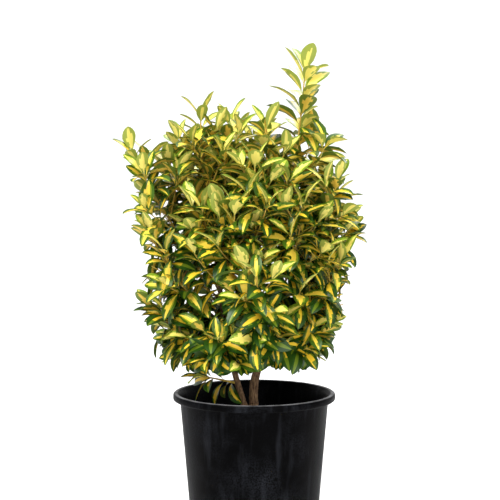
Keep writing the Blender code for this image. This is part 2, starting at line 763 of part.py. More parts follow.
def make_limbs():
    """The stems and main limbs, by name."""
    branches = {}
    for limb in STEMS + LIMBS:
        carrier = branches.get(limb.carrier)
        controls = limb.controls
        if carrier:
            root = carrier.bend.at(carrier.bend.length * limb.leaves_at)[0]
            controls = (root, *limb.controls[1:])
        sides = LIMB_SIDES if carrier else STEM_SIDES
        branch = Branch(limb.name, Bend(controls, LIMB_STEP), limb.root_radius, limb.tip_radius, sides)
        obj = branch.make()
        if carrier:
            combine(obj, [carrier.cutter()], "DIFFERENCE")
        branches[limb.name] = branch
    return branches


def make_bough(mass):
    """The bough of a mass, its root cut to fit the limb that carries it."""
    combine(mass.bough.make(), [mass.carrier.cutter()], "DIFFERENCE")


def main():
    """Builds the whole plant and its pot."""
    clear_scene()
    make_pot()
    make_soil()
    carriers = make_limbs()
    make_trunk([carriers["stem_left"], carriers["stem_right"]])
    masses = [Mass(spray, carriers[spray.carrier]) for spray in SPRAYS]
    boughed = [mass for mass in masses if mass.bough]
    for mass in boughed:
        make_bough(mass)
    branches = [*carriers.values(), *(mass.bough for mass in boughed)]
    probes = [probe for branch in branches for probe in branch.probes()]
    leaves = [make_mass(mass, masses, probes) for mass in masses]
    print(sum(leaves), "leaves:", dict(zip((mass.spray.name for mass in masses), leaves)))


main()
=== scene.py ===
"""The looks of a potted Japanese euonymus with gold-centred leaves, dressed over its solids, in metres.

The stems, limbs and boughs get bark with relief. From them the leafy shoots grow on by the rule that
the solids follow, with more side twigs and with more and smaller leaves. +Z is up, and the front
faces -Y.
"""

import logging
import random
from dataclasses import dataclass, field, replace
from enum import Enum
from math import ceil, cos, hypot, pi, radians, sin, sqrt, tau
from typing import Any, NamedTuple

import bmesh
import bpy
import numpy as np
from bpy.types import Material, Node, NodeSocket, Object
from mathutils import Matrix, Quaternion, Vector, noise


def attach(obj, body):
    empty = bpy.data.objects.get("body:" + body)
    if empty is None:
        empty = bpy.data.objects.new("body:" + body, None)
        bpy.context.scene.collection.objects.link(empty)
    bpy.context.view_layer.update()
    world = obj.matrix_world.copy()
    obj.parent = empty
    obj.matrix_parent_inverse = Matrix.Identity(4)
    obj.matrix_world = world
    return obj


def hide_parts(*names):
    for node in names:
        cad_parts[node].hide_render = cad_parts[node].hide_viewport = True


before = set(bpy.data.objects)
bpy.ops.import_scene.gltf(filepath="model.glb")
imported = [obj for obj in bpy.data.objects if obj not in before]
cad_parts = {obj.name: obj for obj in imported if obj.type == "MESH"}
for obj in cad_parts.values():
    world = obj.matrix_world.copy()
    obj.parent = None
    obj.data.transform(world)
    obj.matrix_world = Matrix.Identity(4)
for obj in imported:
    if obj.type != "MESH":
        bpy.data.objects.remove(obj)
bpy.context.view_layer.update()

LOG = logging.getLogger("euonymus")
UP = Vector((0.0, 0.0, 1.0))
BODY = "root"
GAMMA = 2.2
# The least level part of a way, the bark's noise in features a metre, and how a flare fades
UPRIGHT = 0.05
FURROWS = Vector((420.0, 420.0, 110.0))
KNOTS = 90.0
FLARE_FADES = 6
Colour = tuple[float, float, float]


def tint(red: int, green: int, blue: int) -> Colour:
    """The linear colour of three 8-bit values."""
    return tuple((value / 255) ** GAMMA for value in (red, green, blue))


# The names of the main limbs and shoots are those of their solids
class Limb(NamedTuple):
    """A main limb: what carries it and where, the control points of its line from there, and its radii."""

    name: str
    carrier: str
    leaves_at: float
    controls: tuple
    root_radius: float
    tip_radius: float


class Spray(NamedTuple):
    """A shoot: its carrier and place, its tip, how bare, bowed and hung it is, its twigs and how leafy."""

    carrier: str
    name: str
    leaves_at: float
    tip: tuple
    bare: float
    bow: float
    sag: float
    twigs: int = 6
    vigour: float = 1.0


LIMBS = (
    Limb("stem_left", "", 0.0, ((-0.0185, 0.0, 0.22), (-0.032, 0.0, 0.262), (-0.054, 0.0, 0.345),
         (-0.061, -0.02, 0.455)), 0.0058, 0.0034),
    Limb("stem_right", "", 0.0, ((-0.001, 0.0, 0.22), (-0.006, 0.0, 0.3), (0.036, 0.0, 0.3),
         (0.047, 0.008, 0.47)), 0.008, 0.004),
    Limb("limb_back", "stem_right", 0.22, ((0.008, 0.05, 0.31), (-0.004, 0.08, 0.37),
         (-0.006, 0.092, 0.44)), 0.0048, 0.0032),
    Limb("limb_front", "stem_right", 0.3, ((0.018, -0.04, 0.33), (0.008, -0.07, 0.37),
         (0.004, -0.078, 0.44)), 0.0042, 0.0028),
)
# The shoots, by what carries them
SHOOTS = {
    "stem_right": (
        ("tall", 1.0, (0.092, 0.03, 0.84), 0.28, 0.02, 0.0, 2, 1.3),
        ("right_upper", 0.86, (0.15, -0.03, 0.65), 0.2, 0.12, 0.1),
        ("right_far", 0.74, (0.19, 0.06, 0.555), 0.21, 0.08, 0.2),
        ("right_mid", 0.5, (0.16, -0.07, 0.51), 0.22, 0.12, 0.25),
        ("right_low", 0.42, (0.15, 0.035, 0.42), 0.22, 0.08, 0.4),
        ("right_bottom", 0.33, (0.152, -0.045, 0.36), 0.0, 0.0, 0.5),
        ("front_right", 0.7, (0.085, -0.1, 0.61), 0.2, 0.1, 0.1),
        ("back_right_high", 0.93, (0.112, 0.115, 0.665), 0.21, 0.1, 0.1),
        ("centre_top", 0.82, (0.018, -0.035, 0.74), 0.22, 0.04, 0.05),
    ),
    "stem_left": (
        ("left_inner", 1.0, (-0.092, -0.095, 0.6), 0.0, 0.06, 0.05),
        ("left_far_top", 0.88, (-0.226, -0.015, 0.698), 0.24, 0.06, 0.05),
        ("left_second", 0.8, (-0.137, 0.05, 0.722), 0.22, 0.08, 0.05),
        ("left_third", 0.94, (-0.094, 0.02, 0.762), 0.22, 0.06, 0.0),
        ("centre_left_top", 0.86, (-0.04, 0.035, 0.755), 0.22, 0.03, 0.0),
        ("left_mid", 0.58, (-0.19, -0.055, 0.56), 0.2, 0.1, 0.15),
        ("left_low", 0.4, (-0.205, -0.03, 0.42), 0.22, 0.08, 0.3),
        ("left_drop", 0.34, (-0.172, -0.05, 0.35), 0.0, -0.02, 0.6),
        ("low_pot", 0.15, (-0.132, -0.03, 0.272), 0.0, -0.04, 0.9, 0),
        ("front_left_low", 0.3, (-0.072, -0.145, 0.36), 0.0, -0.02, 0.7),
        ("front_left_mid", 0.66, (-0.03, -0.13, 0.6), 0.18, 0.1, 0.05),
    ),
    "limb_front": (
        ("front_low", 0.25, (0.01, -0.15, 0.395), 0.0, 0.0, 0.45),
        ("front_mid", 0.62, (0.002, -0.185, 0.49), 0.0, 0.1, 0.25),
        ("centre_front_top", 1.0, (0.0, -0.105, 0.68), 0.18, 0.02, 0.05),
    ),
    "limb_back": (
        ("back_centre_mid", 0.82, (-0.01, 0.2, 0.58), 0.0, 0.08, 0.15),
        ("back_centre_high", 1.0, (-0.03, 0.12, 0.738), 0.22, 0.03, 0.0),
        ("back_left_high", 0.78, (-0.14, 0.14, 0.66), 0.22, 0.1, 0.1),
        ("back_left_mid", 0.6, (-0.18, 0.13, 0.51), 0.22, 0.1, 0.2),
        ("back_right_mid", 0.66, (0.155, 0.155, 0.5), 0.22, 0.1, 0.2),
        ("back_left_low", 0.3, (-0.12, 0.13, 0.365), 0.21, 0.02, 0.6),
        ("back_right_low", 0.36, (0.085, 0.165, 0.365), 0.21, 0.02, 0.6),
    ),
}
SPRAYS = tuple(Spray(carrier, *row) for carrier, rows in SHOOTS.items() for row in rows)

# How far the crown reaches to its left and right at each height
CROWN_REACH = (
    (0.25, 0.13, 0.06), (0.3, 0.174, 0.14), (0.35, 0.176, 0.152), (0.4, 0.226, 0.15),
    (0.45, 0.182, 0.17), (0.5, 0.19, 0.182), (0.545, 0.224, 0.195), (0.59, 0.205, 0.182),
    (0.65, 0.226, 0.167), (0.69, 0.247, 0.144), (0.72, 0.172, 0.122), (0.765, 0.128, 0.124),
    (0.78, -0.043, 0.127), (0.848, -0.043, 0.142),
)
CROWN_LOWEST = 0.251
CROWN_SQUARENESS = 2.6
CROWN_LEAST_DEPTH = 0.10
CROWN_UNDERSIDE = 0.278
CROWN_MARGIN = 0.004
CROWN_RIPPLE = 0.022
CROWN_RIPPLE_SCALE = 17.0

# What hangs below the rim keeps above the soil and inside the mouth
OVER_SOIL, OVER_RIM, IN_MOUTH = 0.200, 0.244, 0.120

# What a leaf tries until it has room: a share of its size, and a turn towards its stem
LEAF_FITS = ((1.0, 0.0), (1.0, 0.35), (0.85, 0.0), (0.85, 0.5), (0.7, 0.7))
# The shares of a twig and of a leaf where its room is tried
TWIG_TRIES, LEAF_TRIES = (0.5, 1.0), (0.6, 1.0)


class Finish:
    """A material and its nodes."""

    def __init__(self, name: str) -> None:
        """Makes the material.

        Args:
            name: The material's name.
        """
        self.material = bpy.data.materials.new(name)
        self.material.use_nodes = True
        self.tree = self.material.node_tree
        self.surface = self.tree.nodes["Principled BSDF"]

    def node(self, kind: str, inputs: dict[Any, Any], **settings: Any) -> Node:
        """Adds any node.

        Args:
            kind: The node's type.
            inputs: The value, field or socket of each of its sockets, by name or number.
            settings: Its own settings, set first.

        Returns:
            The node.
        """
        made = self.tree.nodes.new(kind)
        for name, value in settings.items():
            setattr(made, name, value)
        for key, value in inputs.items():
            self.join(value, made.inputs[key])
        return made

    def join(self, value: Any, socket: NodeSocket) -> None:
        """Links or sets a socket."""
        if isinstance(value, Field):
            value = value.socket
        if isinstance(value, NodeSocket):
            self.tree.links.new(value, socket)
        else:
            socket.default_value = value

    def place(self) -> NodeSocket:
        """The place on the piece, in metres."""
        return self.node("ShaderNodeTexCoord", {}).outputs["Object"]

    def noise(self, scale: float, detail: float, stretch: tuple = (1.0, 1.0, 1.0)) -> "Field":
        """Noise over the piece.

        Args:
            scale: Its scale, in features a metre.
            detail: Its number of finer layers.
            stretch: How much it is packed along each axis.

        Returns:
            The noise, from 0 to 1.
        """
        spot = self.node("ShaderNodeVectorMath", {0: self.place(), 1: stretch}, operation="MULTIPLY")
        made = self.node("ShaderNodeTexNoise", {"Vector": spot.outputs[0], "Scale": scale, "Detail": detail})
        return Field(self, made.outputs[0])

    def blend(self, mask: "Field", first: Any, second: Any) -> NodeSocket:
        """A colour that goes from the first to the second as the mask goes from 0 to 1."""
        ends = [(*end, 1.0) if isinstance(end, tuple) else end for end in (first, second)]
        made = self.node("ShaderNodeMix", {0: mask, 6: ends[0], 7: ends[1]}, data_type="RGBA")
        return made.outputs[2]

    def relief(self, height: "Field", depth: float) -> None:
        """Bumps the surface by a height, to a depth in metres."""
        bump = self.node("ShaderNodeBump", {"Height": height, "Distance": depth, "Strength": 1.0})
        self.join(bump.outputs[0], self.surface.inputs["Normal"])

    def feed(self, **inputs: Any) -> None:
        """Sets or links sockets of the surface, named with underscores for spaces."""
        for name, value in inputs.items():
            if isinstance(value, tuple) and len(value) == 3:
                value = (*value, 1.0)
            self.join(value, self.surface.inputs[name.replace("_", " ")])


@dataclass(frozen=True)
class Field:
    """A value that changes over a surface, used in Python expressions."""

    finish: Finish
    socket: NodeSocket

    def math(self, operation: str, first: Any, second: Any, clamp: bool = False) -> "Field":
        """The result of one Math node."""
        made = self.finish.node("ShaderNodeMath", {0: first, 1: second}, operation=operation,
                                use_clamp=clamp)
        return Field(self.finish, made.outputs[0])

    def __add__(self, other: Any) -> "Field":
        """Self and other."""
        return self.math("ADD", self, other)

    __radd__ = __add__

    def __mul__(self, other: Any) -> "Field":
        """Self times other."""
        return self.math("MULTIPLY", self, other)

    def __sub__(self, other: Any) -> "Field":
        """Self less other."""
        return self.math("SUBTRACT", self, other)

    def __rsub__(self, other: Any) -> "Field":
        """Other less self."""
        return self.math("SUBTRACT", other, self)

    def between(self, low: float, high: float) -> "Field":
        """0 up to low, 1 from high on, and in proportion between."""
        return self.math("MULTIPLY", self - low, 1 / (high - low), clamp=True)


@dataclass(frozen=True)
class LeafFinish:
    """A leaf's skin in one zone: a plain colour that lets some light through."""

    name: str
    colour: Colour
    roughness: float
    shine: float = 0.35
    glow: float = 0.22

    def make(self) -> Material:
        """The material."""
        finish = Finish(self.name)
        finish.feed(Base_Color=self.colour, Roughness=self.roughness, Specular_IOR_Level=self.shine)
        glow = finish.node("ShaderNodeBsdfTranslucent", {"Color": (*self.colour, 1.0)})
        ends = {0: self.glow, 1: finish.surface.outputs[0], 2: glow.outputs[0]}
        mixed = finish.node("ShaderNodeMixShader", ends)
        finish.join(mixed.outputs[0], finish.tree.nodes["Material Output"].inputs["Surface"])
        return finish.material


@dataclass(frozen=True)
class BarkFinish:
    """Bark: furrows along the limb, with paler ridges."""

    name: str
    furrow: Colour
    ridge: Colour
    depth: float

    def make(self) -> Material:
        """The material."""
        finish = Finish(self.name)
        grain = finish.noise(520.0, 5.0, (1.0, 1.0, 0.22))
        patches = finish.noise(45.0, 3.0)
        ridges = (grain * 0.7 + patches * 0.3).between(0.36, 0.66)
        finish.feed(Base_Color=finish.blend(ridges, self.furrow, self.ridge), Roughness=0.95 - ridges * 0.2)
        finish.relief(grain, self.depth)
        return finish.material


@dataclass(frozen=True)
class PlasticFinish:
    """The pot's black plastic: satin, with dust, faint scuffs, a painted rim highlight and a fine moulded
    grain.
    """

    name: str
    black: Colour
    dust: Colour
    # The pale colour of the painted highlight along the rim's top edge, and how far below the rim's top it
    # starts and where it is full
    rim_highlight: Colour
    rim_height: float
    highlight_depth: float = 0.0012
    highlight_full: float = 0.0002

    def make(self) -> Material:
        """The material."""
        finish = Finish(self.name)
        clouds = finish.noise(14.0, 6.0)
        specks = finish.noise(420.0, 2.0)
        scuffs = finish.noise(60.0, 4.0, (1.0, 1.0, 0.12))
        dusty = (clouds.between(0.42, 0.70) * specks.between(0.38, 0.62)) * 0.30
        marks = scuffs.between(0.54, 0.70) * 0.20
        # A painted highlight: a pale band along the rim's top edge, broken up by the scuffs
        height = Field(finish, finish.node("ShaderNodeSeparateXYZ", {0: finish.place()}).outputs[2])
        edge = height.between(self.rim_height - self.highlight_depth, self.rim_height - self.highlight_full)
        painted_highlight = edge * (0.25 + scuffs.between(0.35, 0.60) * 0.55)
        dull = finish.blend(dusty + marks, self.black, self.dust)
        finish.feed(Base_Color=finish.blend(painted_highlight, dull, self.rim_highlight),
                    Roughness=0.36 + dusty * 0.5 + clouds * 0.14,
                    Specular_IOR_Level=0.10, IOR=1.22)
        finish.relief(specks * 0.6 + clouds, 0.0004)
        return finish.material


@dataclass(frozen=True)
class SoilFinish:
    """Crumbs of two colours, damp in patches: the soil and its white grains."""

    name: str
    dark: Colour
    light: Colour

    def make(self) -> Material:
        """The material."""
        finish = Finish(self.name)
        crumbs = finish.noise(260.0, 6.0)
        damp = finish.noise(22.0, 3.0)
        pale = (crumbs * 0.6 + damp * 0.4).between(0.35, 0.68)
        finish.feed(Base_Color=finish.blend(pale, self.dark, self.light), Roughness=0.98 - damp * 0.25)
        finish.relief(crumbs, 0.002)
        return finish.material


class Tone(Enum):
    """The age of a leaf and the light and shade painted into it, which set its colours."""

    # Lighter for youth and for painted light high up, middling, and darker for painted shade low and inside
    # the crown
    YOUNG = "young"
    GROWN = "grown"
    SHADED = "shaded"


class Zone(Enum):
    """The zones of a leaf, in the order of its material slots."""

    GOLD = 0
    LIME = 1
    GREEN = 2
    GOLD_UNDER = 3
    GREEN_UNDER = 4


# The colours of each tone's zones, lit and shaded copies in painted light and shade, how far its gold
# reaches, and the painted light each starts from
LEAF_TINTS = {
    Tone.YOUNG: ((252, 236, 120), (190, 200, 72), (120, 148, 42), (232, 220, 118), (154, 166, 74)),
    Tone.GROWN: ((254, 222, 80), (146, 158, 42), (66, 98, 24), (222, 192, 84), (104, 124, 46)),
    Tone.SHADED: ((246, 206, 58), (106, 128, 34), (40, 72, 20), (196, 168, 62), (76, 98, 38)),
}
YOUNG_LIGHT = 1.02
GROWN_LIGHT = 0.42
GOLD_REACH = {Tone.YOUNG: 0.62, Tone.GROWN: 0.52, Tone.SHADED: 0.36}


class Bend:
    """A smooth line of one cubic span."""

    STEPS = 24
    NUDGE = 0.01

    def __init__(self, controls: Any) -> None:
        """Works out the line.

        Args:
            controls: Its four control points.
        """
        self.controls = [Vector(control) for control in controls]
        points = [self.point(place / self.STEPS) for place in range(self.STEPS + 1)]
        self.spans = [(after - before).length for before, after in zip(points, points[1:])]
        self.length = sum(self.spans)

    def point(self, share: float) -> Vector:
        """The point at a share of the span."""
        row = self.controls
        while len(row) > 1:
            row = [before.lerp(after, share) for before, after in zip(row, row[1:])]
        return row[0]

    def share_at(self, distance: float) -> float:
        """The share of the span at a distance along it."""
        for place, span in enumerate(self.spans):
            if distance <= span:
                return (place + distance / span) / self.STEPS
            distance -= span
        return 1.0

    def at(self, distance: float) -> tuple[Vector, Vector]:
        """The point and the way along, at a distance along the line."""
        share = self.share_at(distance)
        way = self.point(min(1.0, share + self.NUDGE)) - self.point(max(0.0, share - self.NUDGE))
        return self.point(share), way.normalized()

    def stretch(self, start: float, end: float) -> "Bend":
        """The stretch between two distances, as a bend of its own."""
        shares = (self.share_at(start), self.share_at(end))
        controls = []
        for late in range(4):
            row = self.controls
            for turn in (shares[1] if number < late else shares[0] for number in range(3)):
                row = [before.lerp(after, turn) for before, after in zip(row, row[1:])]
            controls.append(row[0])
        return Bend(controls)


def bowed(root: Vector, middle: Vector, tip: Vector) -> Bend:
    """The bend from root to tip that is drawn towards a middle point."""
    return Bend((root, root.lerp(middle, 2 / 3), tip.lerp(middle, 2 / 3), tip))


def mix(ends: tuple[float, float], share: float) -> float:
    """The value at a share of the way from the first end to the second."""
    return ends[0] + (ends[1] - ends[0]) * share


def squared(vector: Vector, way: Vector) -> Vector:
    """The unit vector nearest to the vector and at right angles to the way."""
    return (vector - vector.dot(way) * way).normalized()


def level_side(way: Vector) -> Vector:
    """A unit vector at right angles to the way, as level as it can be."""
    side = way.cross(UP)
    return side.normalized() if side.length > UPRIGHT else Vector((1.0, 0.0, 0.0))


@dataclass
class Weave:
    """Gathers the points, faces and slots of many small shapes into one mesh."""

    points: list = field(default_factory=list)
    faces: list = field(default_factory=list)
    slots: list = field(default_factory=list)
    total: int = 0

    def add(self, points: Any, faces: Any, slots: Any = 0) -> None:
        """Adds one shape.

        Args:
            points: Its points, in rows of three.
            faces: Its faces, in rows of four point numbers.
            slots: The material slot of each face, or of them all.
        """
        self.points.append(np.asarray(points))
        self.faces.append(np.asarray(faces) + self.total)
        self.slots.append(np.broadcast_to(slots, len(faces)))
        self.total += len(points)

    def make(self, name: str, materials: list[Material]) -> Object:
        """One smooth object of all the shapes.

        Args:
            name: The object's name.
            materials: Its materials, in the order of its slots.

        Returns:
            The object.
        """
        faces = np.concatenate(self.faces)
        mesh = bpy.data.meshes.new(name)
        mesh.from_pydata(np.concatenate(self.points).tolist(), [], faces.tolist())
        for material in materials:
            mesh.materials.append(material)
        mesh.polygons.foreach_set("material_index", np.concatenate(self.slots).astype(np.int32))
        mesh.polygons.foreach_set("use_smooth", np.ones(len(faces), dtype=bool))
        mesh.validate()
        return add_object(name, mesh)


def add_object(name: str, data: Any) -> Object:
    """A new object in the scene that holds this data."""
    made = bpy.data.objects.new(name, data)
    bpy.context.scene.collection.objects.link(made)
    return made


def dress(piece: Object, slot: str, *nodes: str) -> None:
    """Lets a piece ride and stand for its nodes, and reports it."""
    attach(piece, BODY)
    if nodes:
        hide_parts(*nodes)
    LOG.info("%s: %d faces, for %d nodes", piece.name, len(piece.data.polygons), len(nodes))


def hoops(spans: int, sides: int) -> np.ndarray:
    """The faces of a closed tube of rings, outside out, whose two middles come after its rings.

    Args:
        spans: The number of spans between its rings.
        sides: The sides of each ring.

    Returns:
        The faces.
    """
    faces = []
    for low in range(0, spans * sides, sides):
        for number in range(sides):
            after = (number + 1) % sides
            faces.append((low + number, low + after, low + sides + after, low + sides + number))
    last = spans * sides
    for number in range(0, sides, 2):
        middle, after = (number + 1) % sides, (number + 2) % sides
        faces.append((last + sides, after, middle, number))
        faces.append((last + number, last + middle, last + after, last + sides + 1))
    return np.array(faces)


def pipe(bend: Bend, radii: tuple[float, float], sides: int, step: float, rough: float,
         flare: float = 0.0) -> tuple[np.ndarray, np.ndarray]:
    """A closed tapering limb along a bend.

    Args:
        bend: Its line.
        radii: Its radius at its root and at its tip.
        sides: The sides of its section.
        step: The distance between its rings.
        rough: How much its skin swells and sinks, as a share of its radius.
        flare: How much its root swells, as a share of its radius.

    Returns:
        Its points and its faces.
    """
    count = max(2, ceil(bend.length / step))
    side = level_side(bend.at(0.0)[1])
    rings = []
    for place in range(count + 1):
        share = place / count
        centre, way = bend.at(bend.length * share)
        side = squared(side, way)
        across = way.cross(side)
        radius = mix(radii, share) * (1 + flare * max(0.0, 1 - share * FLARE_FADES) ** 2)
        for number in range(sides):
            angle = tau * number / sides
            out = side * cos(angle) + across * sin(angle)
            spot = centre + out * radius
            swell = noise.noise(spot * FURROWS) + noise.noise(spot * KNOTS)
            rings.append(centre + out * radius * (1 + rough * swell))
    rings += [bend.at(0.0)[0], bend.at(bend.length)[0]]
    return np.array([tuple(spot) for spot in rings]), hoops(count, sides)


@dataclass
class Leaf:
    """One leaf: where it is, how it points, and its form and colours."""

    root: Vector
    way: Vector
    upper: Vector
    length: float
    width: float
    curl: float
    fold: float
    gold: float
    tone: Tone
    seed: str

    STATIONS = np.array([0.0, 0.10, 0.17, 0.27, 0.40, 0.54, 0.68, 0.81, 0.92, 1.0])
    ASIDES = np.array([-1.0, -0.80, -0.56, -0.28, 0.0, 0.28, 0.56, 0.80, 1.0])
    STALK_SHARE = 0.10
    STALK_HALF = 0.0007
    THICKNESS = 0.0005
    LEAST_BEND = 0.001
    LIME_SHARE = 0.15
    WIDEST, ROUNDNESS = 1.12, 0.78
    WAVE = 0.035
    FLATTENS = 0.8
    GOLD_TIP = 1.35
    GOLD_ENDS = 0.04
    GOLD_RAGGED = 0.22

    def widths(self) -> np.ndarray:
        """The half width of the leaf at each station."""
        share = np.clip((self.STATIONS - self.STALK_SHARE) / (1 - self.STALK_SHARE), 0.0, 1.0)
        blade = np.sin(np.pi * share ** self.WIDEST) ** self.ROUNDNESS * self.width / 2
        return np.maximum(blade, self.STALK_HALF * (1 - share))

    def arc(self, along: Any) -> tuple:
        """The bend, reach and fall of the midrib, at one share of its length or at many."""
        bend = np.maximum(self.curl * along, self.LEAST_BEND)
        reach = self.length * along * np.sin(bend) / bend
        return bend, reach, self.length * along * (1 - np.cos(bend)) / bend

    def point(self, along: float) -> Vector:
        """A point on the midrib."""
        _, reach, fall = self.arc(along)
        return self.root + self.way * reach - self.upper * fall

    def fitted(self, stem_way: Vector, size: float, lift: float) -> "Leaf":
        """The leaf at a share of its size, turned by a share of the way towards its stem."""
        way = self.way.lerp(stem_way, lift).normalized()
        return replace(self, way=way, upper=squared(self.upper, way), length=self.length * size,
                       width=self.width * size)

    def sheets(self) -> tuple[np.ndarray, np.ndarray, np.ndarray]:
        """The points, faces and slots of the upper and the under side."""
        along = self.STATIONS[:, None]
        bend, reach, fall = self.arc(along)
        way, upper = np.array(self.way), np.array(self.upper)
        side = np.cross(way, upper)
        half = self.widths()[:, None] * self.ASIDES
        facing = upper * np.cos(bend)[..., None] + way * np.sin(bend)[..., None]
        centre = np.array(self.root) + way * reach[..., None] - upper * fall[..., None]
        draw = np.random.default_rng(random.Random(self.seed).getrandbits(30))
        wave = draw.normal(0.0, self.WAVE, (len(self.STATIONS), 1)) * half * np.sign(self.ASIDES)
        flat = half ** 2 / self.width * self.fold * self.FLATTENS
        lift = np.abs(half) * self.fold - flat + wave
        top = centre + side * half[..., None] + facing * lift[..., None]
        deep = self.THICKNESS * (1 - self.ASIDES ** 2) * (along > 0) * (along < 1)
        under = top - facing * deep[..., None]
        rows, columns = len(self.STATIONS), len(self.ASIDES)
        number = np.arange(rows * columns).reshape(rows, columns)
        corners = [number[:-1, :-1], number[1:, :-1], number[1:, 1:], number[:-1, 1:]]
        face = np.stack(corners, axis=-1).reshape(-1, 4)
        faces = np.concatenate([face[:, ::-1], face + rows * columns])
        points = np.concatenate([top.reshape(-1, 3), under.reshape(-1, 3)])
        return points, faces, self.zones(draw)

    def zones(self, draw: np.random.Generator) -> np.ndarray:
        """The slot of each face: gold round the midrib, then lime, then green at the edge."""
        middle = (self.STATIONS[1:] + self.STATIONS[:-1]) / 2
        aside = np.abs(self.ASIDES[1:] + self.ASIDES[:-1]) / 2
        reach = self.gold * np.sin(np.pi * (self.GOLD_ENDS + middle * (1 - 2 * self.GOLD_ENDS))) ** 0.5
        reach = reach * np.clip(self.GOLD_TIP - middle, 0.0, 1.0)
        edge = reach[:, None] * (1 + draw.normal(0.0, self.GOLD_RAGGED, (len(middle), len(aside))))
        top = np.full(edge.shape, Zone.GREEN.value)
        top[aside < edge + self.LIME_SHARE] = Zone.LIME.value
        top[aside < edge] = Zone.GOLD.value
        under = np.where(aside < edge, Zone.GOLD_UNDER.value, Zone.GREEN_UNDER.value)
        return np.concatenate([top.ravel(), under.ravel()])


@dataclass
class Wood:
    """The trunk, stems, limbs and boughs, in bark with relief."""

    bough_tip_radius: float = 0.0022
    bough_taper: float = 0.0085
    carrier_share: float = 0.8
    # The sides, ring spacing, roughness and flare of each kind of limb
    stem_skin: tuple = (20, 0.0022, 0.055)
    bough_skin: tuple = (12, 0.0022, 0.044, 0.35)
    foot_skin: tuple = (32, 0.0010, 0.06)
    stub_skin: tuple = (20, 0.0015, 0.055)
    flare_radius: float = 0.0215
    waist_radius: float = 0.0125
    waist_height: float = 0.016
    waist_taper: float = 0.9
    stub_height: float = 0.004
    stub_inset: float = 0.4
    stub_swell: float = 1.25
    trunk_root: tuple = (-0.0095, 0.0, 0.1953)
    lines: dict = field(default_factory=dict)

    def __post_init__(self) -> None:
        """Works out the line and radii of each stem and main limb, by name."""
        for limb in LIMBS:
            controls = limb.controls
            if limb.carrier:
                carrier = self.lines[limb.carrier][0]
                controls = (carrier.at(carrier.length * limb.leaves_at)[0], *controls)
            self.lines[limb.name] = (Bend(controls), limb.root_radius, limb.tip_radius)

    def shoot_line(self, spray: Spray) -> Bend:
        """The whole curve of a shoot, from its carrier to where its last leaves spring."""
        carrier = self.lines[spray.carrier][0]
        root = carrier.at(carrier.length * spray.leaves_at)[0]
        tip = Vector(spray.tip)
        straight = tip - root
        level = Vector((straight.x, straight.y, 0.0)).normalized()
        middle = root.lerp(tip, 0.5) + (level - UP) * spray.bow * straight.length
        tip = tip - (tip - middle).normalized() * Foliage.tip_reach
        return bowed(root, middle, tip)

    def build(self) -> None:
        """Makes the bark."""
        weave = Weave()
        for bend, root, tip in self.lines.values():
            weave.add(*pipe(bend, (root, tip), *self.stem_skin))
        for spray in SPRAYS:
            if spray.bare:
                whole = self.shoot_line(spray)
                stretch = whole.stretch(0.0, whole.length * spray.bare)
                _, root, tip = self.lines[spray.carrier]
                limit = mix((root, tip), spray.leaves_at)
                wanted = self.bough_tip_radius + self.bough_taper * stretch.length
                share = 1.0 if spray.leaves_at == 1.0 else self.carrier_share
                radii = (min(wanted, limit * share), self.bough_tip_radius)
                weave.add(*pipe(stretch, radii, *self.bough_skin))
        self.foot(weave)
        bark = BarkFinish("bark_grey_brown", tint(58, 40, 26), tint(142, 112, 80), 0.0012).make()
        boughs = tuple(f"bough_{spray.name}" for spray in SPRAYS if spray.bare)
        names = tuple(limb.name for limb in LIMBS)
        dress(weave.make("wood", [bark]), "bark", "trunk", *names, *boughs)

    def foot(self, weave: Weave) -> None:
        """Adds the flared foot and the stubs that run up into the stems."""
        low = Vector(self.trunk_root)
        high = low + UP * self.waist_height
        foot = Bend((low, low.lerp(high, 1 / 3), low.lerp(high, 2 / 3), high))
        weave.add(*pipe(foot, (self.waist_radius, self.waist_radius * self.waist_taper), *self.foot_skin,
                        self.flare_radius / self.waist_radius - 1))
        for name in ("stem_left", "stem_right"):
            bend, root, _ = self.lines[name]
            top, way = bend.at(0.0)
            start = low.lerp(Vector((top.x, top.y, low.z)), self.stub_inset) + UP * self.stub_height
            pull = (top - start).length / 3
            stub = Bend((start, start + UP * pull, top - way * pull, top))
            weave.add(*pipe(stub, (root * self.stub_swell, root), *self.stub_skin))


